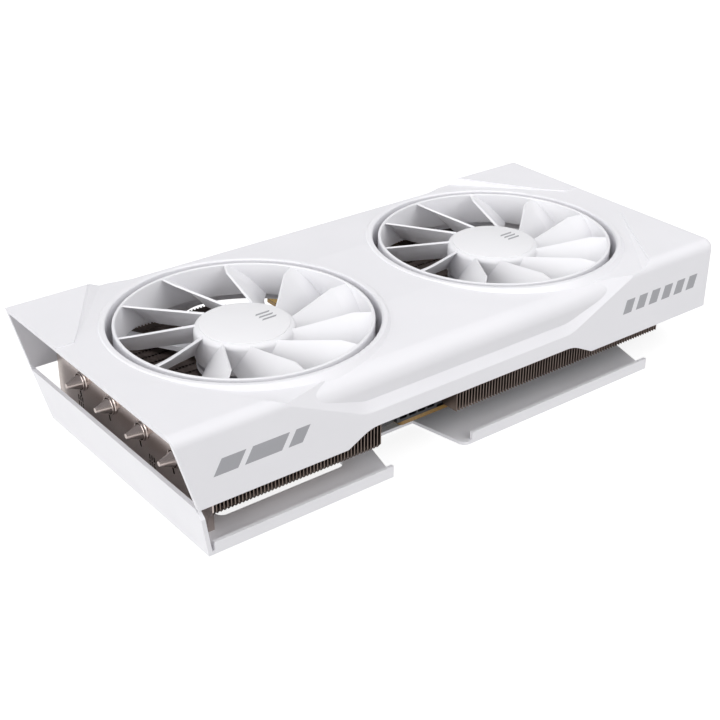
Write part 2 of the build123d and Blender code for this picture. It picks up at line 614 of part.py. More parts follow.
# heat pipes: flat run in the base, a rising S between the stacks, and a swaged cone at the tail
PIPE_HEAD_X = 86.0
PIPE_RISE = (-13.0, -36.5)
PIPE_BEND = 14.0
CONE_X = (-109.4, -115.2)
for number, row in enumerate(PIPE_ROWS):
    base_y = PIPE_BASE_PITCH * row
    tail_y = PIPE_TAIL_PITCH * row
    with BuildPart() as heat_pipe:
        with BuildLine():
            FilletPolyline((PIPE_HEAD_X, base_y, PIPE_BASE_Z), (PIPE_RISE[0], base_y, PIPE_BASE_Z),
                           (PIPE_RISE[1], tail_y, PIPE_TAIL_Z), (CONE_X[0], tail_y, PIPE_TAIL_Z),
                           radius=PIPE_BEND)
        with BuildSketch(Plane((PIPE_HEAD_X, base_y, PIPE_BASE_Z), z_dir=(-1, 0, 0))):
            Circle(PIPE_R)
        sweep()
        with BuildSketch(Plane((CONE_X[0], tail_y, PIPE_TAIL_Z), z_dir=(-1, 0, 0))):
            Circle(PIPE_R)
        with BuildSketch(Plane((CONE_X[1], tail_y, PIPE_TAIL_Z), z_dir=(-1, 0, 0))):
            Circle(0.9)
        loft()
    save(heat_pipe, f"heat_pipe_{number + 1}")


# ---------------------------------------------------------------- fans
HUB_WALL = 1.5
MAGNET_R = 15.2
CORE_R = 12.8
SHAFT_R = 1.5
BEARING_R = 3.0
TUBE_R = 4.0
CORE_FOOT = 33.2
CORE_HEIGHT = 5.0
COIL_WALL = 0.6
# radius, angle of the leading top edge, width in plan, belly of the blade's section
BLADE_STATIONS = (
    (15.0, -3.0, 8.0, 0.7), (23.0, 3.0, 11.5, 0.9), (31.0, 8.5, 15.0, 1.1),
    (38.5, 13.0, 18.0, 1.3), (47.0, 21.0, 20.5, 1.4),
)
TIP_SWEEP = 18.6             # angle of the leading edge where it meets the ring
BLADE_TOP = 45.4
BLADE_FOOT = 34.2
BLADE_SHEET = 1.1


def fan_blade():
    """One swept, twisted blade with its leading edge on top, trimmed between hub and ring."""
    with BuildPart() as blade:
        for radius, lead, width, belly in BLADE_STATIONS:
            turn = math.radians(lead - TIP_SWEEP)
            radial = (math.cos(turn), math.sin(turn), 0)
            tangent = (-math.sin(turn), math.cos(turn), 0)
            origin = (radius * radial[0], radius * radial[1], 0)
            middle = (-width / 2 + belly / 2, (BLADE_TOP + BLADE_FOOT) / 2 + belly)
            inner = (middle[0] + BLADE_SHEET * 0.6, middle[1] - BLADE_SHEET)
            with BuildSketch(Plane(origin, x_dir=tangent, z_dir=radial)):
                with BuildLine():
                    outer = ThreePointArc((0, BLADE_TOP), middle, (-width, BLADE_FOOT + 0.4))
                    Line(outer @ 1, (-width + 0.7, BLADE_FOOT))
                    ThreePointArc((-width + 0.7, BLADE_FOOT), inner, (0.9, BLADE_TOP - 0.5))
                    Line((0.9, BLADE_TOP - 0.5), outer @ 0)
                make_face()
        loft()
        with BuildSketch(Plane.XY.offset(BLADE_FOOT - 1)):
            Circle(RING_R - RING_WALL / 2)
            Circle(HUB_R - HUB_WALL / 2, mode=Mode.SUBTRACT)
        extrude(amount=BLADE_TOP - BLADE_FOOT + 2, mode=Mode.INTERSECT)
    return blade.part


blade = fan_blade()


def make_fan(side, fan_x, phase, screw_angles):
    """One fan: moving rotor, yoke, magnet and shaft, and the frame, bearing and stator that stay put."""
    axis = Plane((fan_x, 0, 0))

    with BuildPart(axis) as rotor:
        with BuildSketch(axis.offset(HUB_FOOT)):
            Circle(HUB_R)
        extrude(amount=HUB_TOP - HUB_FOOT)
        fillet(rotor.edges().group_by(Axis.Z)[-1], 1.6)
        with BuildSketch(axis.offset(HUB_FOOT)):
            Circle(HUB_R - HUB_WALL)
        extrude(amount=HUB_TOP - HUB_FOOT - HUB_WALL, mode=Mode.SUBTRACT)
        with BuildSketch(axis.offset(HUB_TOP - HUB_WALL - 2.0)):
            Circle(TUBE_R)
        extrude(amount=3.0)
        with BuildSketch(axis.offset(HUB_FOOT)):
            Circle(SHAFT_R + 0.01)
        extrude(amount=HUB_TOP - HUB_WALL - HUB_FOOT, mode=Mode.SUBTRACT)
        with BuildSketch(axis.offset(RING_FOOT)):
            Circle(RING_R)
            Circle(RING_R - RING_WALL, mode=Mode.SUBTRACT)
        extrude(amount=RING_TOP - RING_FOOT)
        fillet(rotor.edges().group_by(Axis.Z)[-1], 0.4)
        with PolarLocations(0, BLADE_COUNT, start_angle=phase):
            add(blade)
    save(rotor, f"{side}_fan_rotor")

    with BuildPart(axis) as yoke:
        with BuildSketch(axis.offset(HUB_FOOT + 0.4)):
            Circle(HUB_R - HUB_WALL - 0.05)
        extrude(amount=8.0)
        with BuildSketch(axis.offset(HUB_FOOT + 0.4)):
            Circle(MAGNET_R + 0.05)
        extrude(amount=7.2, mode=Mode.SUBTRACT)
        with BuildSketch(axis.offset(HUB_FOOT + 0.4)):
            Circle(TUBE_R + 1.0)
        extrude(amount=8.0, mode=Mode.SUBTRACT)
    save(yoke, f"{side}_rotor_yoke")

    with BuildPart(axis) as magnet:
        with BuildSketch(axis.offset(HUB_FOOT + 0.8)):
            Circle(MAGNET_R)
            Circle(CORE_R + 0.6, mode=Mode.SUBTRACT)
        extrude(amount=6.4)
    save(magnet, f"{side}_rotor_magnet")

    with BuildPart(axis) as shaft:
        with BuildSketch(axis.offset(ARM_TOP + 0.3)):
            Circle(SHAFT_R)
        extrude(amount=HUB_TOP - HUB_WALL - ARM_TOP - 0.4)
        chamfer(shaft.edges().group_by(Axis.Z)[0], 0.2)
    save(shaft, f"{side}_fan_shaft")

    with BuildPart(axis) as bearing:
        with BuildSketch(axis.offset(ARM_TOP + 0.3)):
            Circle(BEARING_R)
            Circle(SHAFT_R + 0.04, mode=Mode.SUBTRACT)
        extrude(amount=9.0)
    save(bearing, f"{side}_fan_bearing")

    with BuildPart(axis) as frame:
        with BuildSketch(axis.offset(ARM_FOOT)):
            Circle(HUB_R - 0.5)
            for angle in screw_angles:
                half_way = (FAN_SCREW_R * math.cos(angle) / 2, FAN_SCREW_R * math.sin(angle) / 2, 0)
                with Locations(Location(half_way, (0, 0, math.degrees(angle)))):
                    Rectangle(FAN_SCREW_R, 4.6)
                with Locations((FAN_SCREW_R * math.cos(angle), FAN_SCREW_R * math.sin(angle))):
                    Circle(BOSS_R)
            for angle in screw_angles:
                with Locations((FAN_SCREW_R * math.cos(angle), FAN_SCREW_R * math.sin(angle))):
                    Circle(SCREW_R + SCREW_PLAY, mode=Mode.SUBTRACT)
        extrude(amount=ARM_TOP - ARM_FOOT)
        with BuildSketch(axis.offset(ARM_TOP)):
            Circle(TUBE_R)
        extrude(amount=9.0)
        with BuildSketch(axis.offset(ARM_TOP + 0.3)):
            Circle(BEARING_R + 0.01)
        extrude(amount=9.0, mode=Mode.SUBTRACT)
    save(frame, f"{side}_fan_frame")

    with BuildPart(axis) as stator:
        with BuildSketch(axis.offset(CORE_FOOT)):
            Circle(CORE_R)
            Circle(CORE_R - 1.4, mode=Mode.SUBTRACT)
            with PolarLocations(CORE_R - 1.0, 6, start_angle=30):
                Rectangle(4.0, 1.6, mode=Mode.SUBTRACT)
            Circle(6.6)
            with PolarLocations(9.0, 6):
                Rectangle(6.5, 2.2)
            Circle(TUBE_R + 0.05, mode=Mode.SUBTRACT)
        extrude(amount=CORE_HEIGHT)
    save(stator, f"{side}_stator_core")

    with BuildPart(axis) as coils:
        with BuildSketch(axis.offset(CORE_FOOT - COIL_WALL)):
            with PolarLocations(9.1, 6):
                Rectangle(3.8, 4.6)
        extrude(amount=CORE_HEIGHT + 2 * COIL_WALL)
        with BuildSketch(axis.offset(CORE_FOOT - 0.02)):
            with PolarLocations(9.0, 6):
                Rectangle(6.5, 2.24)
        extrude(amount=CORE_HEIGHT + 0.04, mode=Mode.SUBTRACT)
    save(coils, f"{side}_stator_coils")

    with BuildPart(axis) as motor_board:
        with BuildSketch(axis.offset(ARM_TOP + 0.6)):
            Circle(13.5)
            Circle(TUBE_R + 0.05, mode=Mode.SUBTRACT)
        extrude(amount=0.8)
    save(motor_board, f"{side}_motor_board")

    with BuildPart(axis) as hub_cap:
        with BuildSketch(axis.offset(HUB_TOP)):
            Circle(16.0)
        extrude(amount=0.3)
        fillet(hub_cap.edges().group_by(Axis.Z)[-1], 0.2)
    save(hub_cap, f"{side}_hub_cap")


make_fan("tail", FAN_X[0], 0.0, FAN_SCREWS[0][1])
make_fan("head", FAN_X[1], -6.3, FAN_SCREWS[1][1])


# ---------------------------------------------------------------- I/O bracket and sockets
BRACKET_NEAR = -45.4
BRACKET_LENGTH = 120.02
BRACKET_SHOULDER = 55.0
TAB_REACH = 12.4
TAB_FOOT = BRACKET_FOOT + 4.8
CORNER_RUN = 6.2             # length of the corner cut beside the tab
SOCKET_SHELL = (17.0, 6.2)
SOCKET_MOUTH = (15.6, 4.9)
SOCKET_DEPTH = 17.6
SOCKET_MID_Z = BOARD_TOP + SOCKET_SHELL[1] / 2
HDMI_Y = -20.0
DISPLAY_Y = (-0.5, 18.5, 37.5)
SOCKET_FACE = BRACKET_X + BRACKET_SHEET + 0.7
bracket_top = BRACKET_FOOT + BRACKET_SPAN
bracket_far = BRACKET_NEAR + BRACKET_LENGTH
slot_mid_z = [BRACKET_FOOT + (BRACKET_SPAN + side * SLOT_PITCH) / 2 for side in (-1, 1)]
tongues = ((slot_mid_z[0], bracket_far, 5.1), (slot_mid_z[1], 67.5, 3.0))   # middle, tip, half width
tab_top = slot_mid_z[1] + 4.6
TAB_CORNER = 4.5

with BuildPart() as io_bracket:
    with BuildSketch(Plane.YZ.offset(BRACKET_X)):
        with BuildLine():
            Polyline((BRACKET_NEAR, TAB_FOOT), (BRACKET_NEAR + CORNER_RUN, BRACKET_FOOT),
                     (BRACKET_SHOULDER, BRACKET_FOOT), (BRACKET_SHOULDER, bracket_top),
                     (BRACKET_NEAR, bracket_top), close=True)
        make_face()
        for mid_z, tip_y, half in tongues:
            with BuildLine():
                Polyline((BRACKET_SHOULDER, mid_z - half - 2.4), (BRACKET_SHOULDER + 3, mid_z - half),
                         (tip_y - 2, mid_z - half), (tip_y, mid_z - half + 2), (tip_y, mid_z + half - 2),
                         (tip_y - 2, mid_z + half), (BRACKET_SHOULDER + 3, mid_z + half),
                         (BRACKET_SHOULDER, mid_z + half + 2.4), close=True)
            make_face()
        with Locations(*[(socket_y, SOCKET_MID_Z) for socket_y in (HDMI_Y, *DISPLAY_Y)]):
            RectangleRounded(SOCKET_SHELL[0] + 0.4, SOCKET_SHELL[1] + 0.4, 0.8, mode=Mode.SUBTRACT)
        with Locations((7.0, slot_mid_z[1] - 1.0)):
            with GridLocations(5.6, 1.0, 16, 1):
                SlotOverall(15.0, 3.6, rotation=90, mode=Mode.SUBTRACT)
    extrude(amount=BRACKET_SHEET)
    # fixing tab, bent outwards, with an open notch and a slot for the case screws
    with BuildSketch(Plane((BRACKET_X, BRACKET_NEAR, 0), x_dir=(1, 0, 0), z_dir=(0, -1, 0))):
        with BuildLine():
            Polyline((0, TAB_FOOT), (TAB_REACH, TAB_FOOT),
                     (TAB_REACH, tab_top - TAB_CORNER), (TAB_REACH - TAB_CORNER, tab_top), (0, tab_top),
                     close=True)
        make_face()
        with Locations((TAB_REACH / 2 + 0.6, slot_mid_z[0] - 3.0)):
            SlotOverall(12.0, NOTCH_WIDTH, rotation=90, mode=Mode.SUBTRACT)
        with Locations((TAB_REACH / 2 + 0.6, slot_mid_z[1])):
            SlotOverall(6.4, NOTCH_WIDTH, rotation=90, mode=Mode.SUBTRACT)
    extrude(amount=-BRACKET_SHEET)
    # ears screwed down to the board
    with BuildSketch(Plane.XY.offset(BOARD_TOP)):
        for ear_x, ear_y in EAR_SCREWS:
            with Locations((ear_x, ear_y)):
                Circle(3.2)
            with Locations(((ear_x + BRACKET_X) / 2, ear_y)):
                Rectangle(BRACKET_X - ear_x, 6.4)
            with Locations((ear_x, ear_y)):
                Circle(SCREW_R + SCREW_PLAY, mode=Mode.SUBTRACT)
    extrude(amount=BRACKET_SHEET)
save(io_bracket, "io_bracket")

with BuildPart() as display_sockets:
    with BuildSketch(Plane.YZ.offset(SOCKET_FACE)):
        with Locations(*[(socket_y, SOCKET_MID_Z) for socket_y in DISPLAY_Y]):
            RectangleRounded(*SOCKET_SHELL, 0.6)
    extrude(amount=-SOCKET_DEPTH)
    with BuildSketch(Plane.YZ.offset(SOCKET_FACE)):
        with Locations(*[(socket_y, SOCKET_MID_Z) for socket_y in DISPLAY_Y]):
            RectangleRounded(*SOCKET_MOUTH, 0.7)
    extrude(amount=-9.0, mode=Mode.SUBTRACT)
    # keyed corner of each mouth
    with BuildSketch(Plane.YZ.offset(SOCKET_FACE)):
        with Locations(*[(socket_y - SOCKET_MOUTH[0] / 2 + 0.9, SOCKET_MID_Z - SOCKET_MOUTH[1] / 2 + 0.9)
                         for socket_y in DISPLAY_Y]):
            Rectangle(2.0, 2.0, rotation=45)
    extrude(amount=-9.0)
save(display_sockets, "display_sockets")

with BuildPart() as video_socket:
    with BuildSketch(Plane.YZ.offset(SOCKET_FACE)):
        with Locations((HDMI_Y, SOCKET_MID_Z)):
            RectangleRounded(SOCKET_SHELL[0] - 1, SOCKET_SHELL[1], 0.6)
    extrude(amount=-SOCKET_DEPTH)
    with BuildSketch(Plane.YZ.offset(SOCKET_FACE)):
        with BuildLine():
            Polyline(*[(HDMI_Y + across, SOCKET_MID_Z + up) for across, up in
                       ((-7.0, 2.3), (7.0, 2.3), (7.0, -0.6), (5.2, -2.3), (-5.2, -2.3), (-7.0, -0.6))],
                     close=True)
        make_face()
    extrude(amount=-9.0, mode=Mode.SUBTRACT)
save(video_socket, "video_socket")

with BuildPart() as socket_tongues:
    with BuildSketch(Plane.YZ.offset(SOCKET_FACE - 9.0)):
        with Locations(*[(socket_y, SOCKET_MID_Z + 0.2) for socket_y in (HDMI_Y, *DISPLAY_Y)]):
            Rectangle(11.0, 1.5)
    extrude(amount=8.0)
save(socket_tongues, "socket_tongues")


# ---------------------------------------------------------------- spacers, springs and screws
HEAD_R = 2.3
HEAD_HEIGHT = 1.2
DRIVE_DEPTH = 0.6


def pan_screws(sites, seat_z, length, upward):
    """Pan-head cross-drive screws; the head sits on seat_z and the shank runs the other way."""
    way = 1 if upward else -1
    with BuildPart() as group:
        with BuildSketch(Plane((0, 0, seat_z), x_dir=(1, 0, 0), z_dir=(0, 0, way))):
            with Locations(*[(x, y * way) for x, y in sites]):
                Circle(SCREW_R)
        extrude(amount=length)
        with BuildSketch(Plane((0, 0, seat_z - way * HEAD_HEIGHT), x_dir=(1, 0, 0), z_dir=(0, 0, way))):
            with Locations(*[(x, y * way) for x, y in sites]):
                Circle(HEAD_R)
        extrude(amount=HEAD_HEIGHT)
        with BuildSketch(Plane((0, 0, seat_z - way * HEAD_HEIGHT), x_dir=(1, 0, 0), z_dir=(0, 0, way))):
            with Locations(*[(x, y * way) for x, y in sites]):
                Rectangle(2.6, 0.6)
                Rectangle(0.6, 2.6)
        extrude(amount=DRIVE_DEPTH, mode=Mode.SUBTRACT)
    return group


def flush_screws(sites, length):
    """Countersunk screws from the backplate's outer face upwards."""
    with BuildPart() as group:
        with BuildSketch():
            with Locations(*sites):
                Circle(SCREW_R)
        extrude(amount=length)
        with BuildSketch():
            with Locations(*sites):
                Circle(SINK_R)
        extrude(amount=SINK_DEPTH - 0.05, taper=SINK_TAPER)
        with BuildSketch():
            with Locations(*sites):
                Rectangle(2.4, 0.55)
                Rectangle(0.55, 2.4)
        extrude(amount=DRIVE_DEPTH, mode=Mode.SUBTRACT)
    return group


fan_screw_sites = [(fan_x + FAN_SCREW_R * math.cos(angle), FAN_SCREW_R * math.sin(angle))
                   for fan_x, screw_angles in FAN_SCREWS for angle in screw_angles]
fan_screws = pan_screws(fan_screw_sites, ARM_FOOT, ARM_TOP - ARM_FOOT + FAN_SCREW_GRIP, True)
save(fan_screws, "fan_screws")
bracket_screws = pan_screws(EAR_SCREWS, BOARD_TOP + BRACKET_SHEET, 3.4, False)
save(bracket_screws, "bracket_screws")
cooler_shank = DIE_TOP + COOLER_SCREW_GRIP - 0.2 - SPRING_FOOT
cooler_screws = pan_screws(COOLER_SCREWS, SPRING_FOOT, cooler_shank, True)
save(cooler_screws, "cooler_screws")
shroud_screws = flush_screws(POSTS, BOARD_TOP + POST_SCREW_GRIP)
save(shroud_screws, "shroud_screws")
tail_screws = flush_screws(STACK_POSTS, LEFT_STACK_FOOT - RAIL_SHEET - 0.2)
save(tail_screws, "tail_screws")

with BuildPart() as board_spacers:
    with BuildSketch(Plane.XY.offset(SHEET)):
        with Locations(*POSTS):
            RegularPolygon(2.8, 6)
            Circle(SCREW_R + SCREW_PLAY, mode=Mode.SUBTRACT)
    extrude(amount=BOARD_FOOT - SHEET)
save(board_spacers, "board_spacers")

RETAINER_SHEET = 0.8
with BuildPart() as retaining_plate:
    with BuildSketch(Plane.XY.offset(BOARD_FOOT - RETAINER_SHEET)):
        with Locations((GPU_X, 0)):
            RectangleRounded(70.0, 60.0, 5.0)
            RectangleRounded(46.0, 38.0, 5.0, mode=Mode.SUBTRACT)
        with Locations(*COOLER_SCREWS):
            Circle(SCREW_R + 0.3, mode=Mode.SUBTRACT)
    extrude(amount=RETAINER_SHEET)
save(retaining_plate, "retaining_plate")

WIRE_R = 0.3
SPRING_R = 2.0
spring_height = BOARD_FOOT - RETAINER_SHEET - SPRING_FOOT - 2 * WIRE_R - 0.04
with BuildPart() as cooler_springs:
    for screw_x, screw_y in COOLER_SCREWS:
        with BuildLine():
            Helix(pitch=spring_height / 3, height=spring_height, radius=SPRING_R,
                  center=(screw_x, screw_y, SPRING_FOOT + WIRE_R + 0.02))
        with BuildSketch(Plane((screw_x + SPRING_R, screw_y, SPRING_FOOT + WIRE_R + 0.02),
                               x_dir=(1, 0, 0), z_dir=(0, 1, 0))):
            Circle(WIRE_R)
        sweep(is_frenet=True)
save(cooler_springs, "cooler_springs")
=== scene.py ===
"""Looks of the graphics card: materials, detailed pieces around the CAD frame, studio light and camera."""
import json
import math

import bmesh
import bpy
from mathutils import Matrix, Vector


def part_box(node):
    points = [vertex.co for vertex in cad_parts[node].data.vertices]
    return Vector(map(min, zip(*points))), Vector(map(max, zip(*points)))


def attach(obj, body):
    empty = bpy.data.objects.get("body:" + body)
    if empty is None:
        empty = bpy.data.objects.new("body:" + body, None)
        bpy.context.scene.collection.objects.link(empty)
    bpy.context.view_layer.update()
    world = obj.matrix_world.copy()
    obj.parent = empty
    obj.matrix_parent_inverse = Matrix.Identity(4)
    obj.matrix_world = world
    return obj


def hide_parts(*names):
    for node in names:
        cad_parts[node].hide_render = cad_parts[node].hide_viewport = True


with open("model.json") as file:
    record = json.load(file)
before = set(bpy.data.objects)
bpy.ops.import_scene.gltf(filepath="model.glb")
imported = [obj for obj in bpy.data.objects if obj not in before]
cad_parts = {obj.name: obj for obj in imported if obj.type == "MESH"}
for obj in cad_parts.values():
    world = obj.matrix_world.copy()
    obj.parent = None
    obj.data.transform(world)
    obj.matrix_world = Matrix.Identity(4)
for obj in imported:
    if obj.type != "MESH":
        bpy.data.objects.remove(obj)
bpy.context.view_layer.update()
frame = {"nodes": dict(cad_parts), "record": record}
nodes = frame["nodes"]
scene = bpy.context.scene
MM = 0.001


# ------------------------------------------------------------------ material tools
class Shader:
    """A small node tree around one Principled shader."""

    def __init__(self, name):
        self.material = bpy.data.materials.new(name)
        self.material.use_nodes = True
        self.tree = self.material.node_tree
        self.bsdf = self.tree.nodes["Principled BSDF"]
        self.place = self.node("ShaderNodeTexCoord").outputs["Object"]

    def node(self, kind, **settings):
        made = self.tree.nodes.new(kind)
        for key, value in settings.items():
            setattr(made, key, value)
        return made

    def link(self, source, target):
        self.tree.links.new(source, target)

    def stretch(self, scale):
        mapping = self.node("ShaderNodeMapping")
        mapping.inputs["Scale"].default_value = scale
        self.link(self.place, mapping.inputs["Vector"])
        return mapping.outputs["Vector"]

    def noise(self, size, detail=3.0, scale=(1, 1, 1), roughness=0.5):
        """Noise whose cells are about size metres across."""
        made = self.node("ShaderNodeTexNoise")
        made.inputs["Scale"].default_value = 1.0 / size
        made.inputs["Detail"].default_value = detail
        made.inputs["Roughness"].default_value = roughness
        self.link(self.stretch(scale), made.inputs["Vector"])
        return made.outputs["Fac"]

    def ramp(self, value, stops):
        made = self.node("ShaderNodeValToRGB")
        elements = made.color_ramp.elements
        while len(elements) < len(stops):
            elements.new(0.5)
        for element, (position, colour) in zip(elements, stops):
            element.position = position
            element.color = (*colour, 1.0) if len(colour) == 3 else colour
        self.link(value, made.inputs["Fac"])
        return made.outputs["Color"]

    def span(self, value, low, high, source=(0.3, 0.7)):
        made = self.node("ShaderNodeMapRange")
        made.inputs["From Min"].default_value = source[0]
        made.inputs["From Max"].default_value = source[1]
        made.inputs["To Min"].default_value = low
        made.inputs["To Max"].default_value = high
        self.link(value, made.inputs["Value"])
        return made.outputs["Result"]

    def bump(self, height, distance, strength=1.0, onto=None):
        made = self.node("ShaderNodeBump")
        made.inputs["Distance"].default_value = distance
        made.inputs["Strength"].default_value = strength
        self.link(height, made.inputs["Height"])
        if onto is not None:
            self.link(onto, made.inputs["Normal"])
        self.link(made.outputs["Normal"], self.bsdf.inputs["Normal"])
        return made.outputs["Normal"]

    def set(self, **values):
        for key, value in values.items():
            self.bsdf.inputs[key.replace("_", " ")].default_value = value


def moulded(name, light, dark, roughness=(0.38, 0.48), grain=0.00035, depth=0.000006, coat=0.0):
    """Fine-grained moulded plastic: grain bump, a faint flow mottle and an uneven sheen."""
    s = Shader(name)
    mottle = s.noise(0.03, 4.0)
    s.link(s.ramp(mottle, ((0.35, dark), (0.65, light))), s.bsdf.inputs["Base Color"])
    s.link(s.span(s.noise(0.012, 5.0), *roughness), s.bsdf.inputs["Roughness"])
    wave = s.bump(s.noise(0.045, 1.0), 0.00006, 0.35)
    s.bump(s.noise(grain, 2.0), depth, 1.0, onto=wave)
    s.set(Coat_Weight=coat, Coat_Roughness=0.25)
    return s.material


def coated_metal(name, light, dark, roughness=(0.32, 0.44)):
    """Powder coat: fine orange peel over sheet metal."""
    s = Shader(name)
    s.link(s.ramp(s.noise(0.02, 5.0), ((0.35, dark), (0.65, light))), s.bsdf.inputs["Base Color"])
    s.link(s.span(s.noise(0.008, 5.0), *roughness), s.bsdf.inputs["Roughness"])
    peel = s.bump(s.noise(0.0011, 3.0), 0.000012, 0.8)
    s.bump(s.noise(0.00028, 1.0), 0.000004, 0.8, onto=peel)
    return s.material


def sheet_metal(name, light, dark, roughness=(0.2, 0.34), grain=(1, 1, 14), size=0.002, depth=0.000004):
    """Bare or plated metal with rolling grain, faint stains and uneven gloss."""
    s = Shader(name)
    stain = s.noise(0.014, 6.0, roughness=0.6)
    s.link(s.ramp(stain, ((0.3, dark), (0.7, light))), s.bsdf.inputs["Base Color"])
    lines = s.noise(size, 4.0, scale=grain)
    s.link(s.span(lines, *roughness), s.bsdf.inputs["Roughness"])
    s.bump(lines, depth, 0.7)
    s.set(Metallic=1.0)
    return s.material


def board_material():
    """Black solder mask over laminate, with traces as a fine relief and an amber cut edge."""
    s = Shader("board")
    bricks = s.node("ShaderNodeTexBrick")
    bricks.inputs["Scale"].default_value = 420.0
    bricks.inputs["Mortar Size"].default_value = 0.06
    s.link(s.place, bricks.inputs["Vector"])
    mask = s.ramp(s.noise(0.006, 6.0), ((0.4, (0.006, 0.006, 0.008)), (0.6, (0.014, 0.014, 0.018))))
    normal = s.node("ShaderNodeNewGeometry").outputs["Normal"]
    split = s.node("ShaderNodeSeparateXYZ")
    s.link(normal, split.inputs["Vector"])
    flat = s.node("ShaderNodeMath", operation="ABSOLUTE")
    s.link(split.outputs["Z"], flat.inputs[0])
    side = s.span(flat.outputs["Value"], 1.0, 0.0, (0.4, 0.6))
    mix = s.node("ShaderNodeMix", data_type="RGBA")
    s.link(side, mix.inputs["Factor"])
    s.link(mask, mix.inputs["A"])
    layers = s.noise(0.0012, 5.0, scale=(1, 1, 6))
    edge = s.ramp(layers, ((0.3, (0.16, 0.085, 0.012)), (0.7, (0.36, 0.2, 0.035))))
    s.link(edge, mix.inputs["B"])
    s.link(mix.outputs["Result"], s.bsdf.inputs["Base Color"])
    s.link(s.span(s.noise(0.01, 3.0), 0.3, 0.42), s.bsdf.inputs["Roughness"])
    s.bump(bricks.outputs["Fac"], 0.00004, 0.35)
    return s.material


materials = {
    "shroud_plastic": moulded("shroud_plastic", (0.84, 0.833, 0.866), (0.822, 0.817, 0.85)),
    "fan_plastic": moulded("fan_plastic", (0.84, 0.836, 0.862), (0.82, 0.817, 0.846), (0.34, 0.46)),
    "cap_plastic": moulded("cap_plastic", (0.87, 0.866, 0.89), (0.855, 0.85, 0.876), (0.28, 0.36), coat=0.15),
    "frame_plastic": moulded("frame_plastic", (0.76, 0.76, 0.79), (0.72, 0.72, 0.75), (0.42, 0.55)),
    "white_metal": coated_metal("white_metal", (0.83, 0.826, 0.856), (0.815, 0.81, 0.842)),
    "black_metal": coated_metal("black_metal", (0.016, 0.016, 0.02), (0.01, 0.01, 0.013)),
    "black_plastic": moulded("black_plastic", (0.014, 0.014, 0.018), (0.01, 0.01, 0.013), (0.4, 0.55)),
    "board": board_material(),
    "gold": sheet_metal("gold", (0.86, 0.58, 0.2), (0.76, 0.48, 0.14), (0.18, 0.3)),
    "package": moulded("package", (0.03, 0.075, 0.045), (0.022, 0.06, 0.036)),
    "die": moulded("die", (0.09, 0.09, 0.11), (0.07, 0.07, 0.09), (0.1, 0.16)),
    "chip": moulded("chip", (0.02, 0.02, 0.022), (0.014, 0.014, 0.016), (0.45, 0.6)),
    "pad": moulded("pad", (0.36, 0.41, 0.5), (0.3, 0.35, 0.43), (0.6, 0.8)),
    "choke": moulded("choke", (0.09, 0.09, 0.095), (0.06, 0.06, 0.065), (0.5, 0.7)),
    "can": sheet_metal("can", (0.72, 0.72, 0.74), (0.6, 0.6, 0.62)),
    "nickel": sheet_metal("nickel", (0.52, 0.455, 0.425), (0.44, 0.38, 0.355), (0.16, 0.26),
                          (1, 9, 1), 0.003),
    "fin": sheet_metal("fin", (0.2, 0.158, 0.138), (0.13, 0.1, 0.086), (0.3, 0.45)),
    "bracket_steel": sheet_metal("bracket_steel", (0.6, 0.6, 0.61), (0.5, 0.5, 0.51), (0.28, 0.42),
                                 (1, 14, 1)),
    "socket_steel": sheet_metal("socket_steel", (0.64, 0.64, 0.65), (0.55, 0.55, 0.56)),
    "screw_steel": sheet_metal("screw_steel", (0.42, 0.42, 0.43), (0.32, 0.32, 0.33), (0.25, 0.38)),
    "spacer_brass": sheet_metal("spacer_brass", (0.66, 0.5, 0.24), (0.55, 0.4, 0.18)),
    "magnet": moulded("magnet", (0.06, 0.06, 0.065), (0.04, 0.04, 0.045), (0.5, 0.65)),
    "mark": moulded("mark", (0.37, 0.37, 0.395), (0.35, 0.35, 0.375), (0.4, 0.5)),
    "copper": sheet_metal("copper", (0.6, 0.27, 0.13), (0.48, 0.2, 0.09), (0.3, 0.45),
                          (1, 1, 30), 0.003, 0.00003),
}


def dress(obj, slot_name):
    """Give obj one material."""
    obj.data.materials.clear()
    obj.data.materials.append(materials[slot_name])


for part in frame["record"]["subparts"]:
    node = nodes[part["node"]]
    if not node.data.materials:
        node.data.materials.append(None)
    for place in node.material_slots:
        place.material = materials[part["material_slot"]]


# ------------------------------------------------------------------ mesh tools
def piece(name, vertices, faces, slot_name, body, hides=(), smooth=35.0):
    """A mesh object from points in millimetres, riding on a CAD body."""
    mesh = bpy.data.meshes.new(name)
    mesh.from_pydata([Vector(v) * MM for v in vertices], [], faces)
    work = bmesh.new()
    work.from_mesh(mesh)
    bmesh.ops.remove_doubles(work, verts=work.verts, dist=1e-7)
    bmesh.ops.recalc_face_normals(work, faces=work.faces)
    work.to_mesh(mesh)
    work.free()
    mesh.shade_smooth()
    mesh.set_sharp_from_angle(angle=math.radians(smooth))
    obj = bpy.data.objects.new(name, mesh)
    scene.collection.objects.link(obj)
    dress(obj, slot_name)
    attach(obj, body)
    if hides:
        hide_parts(*hides)
    return obj


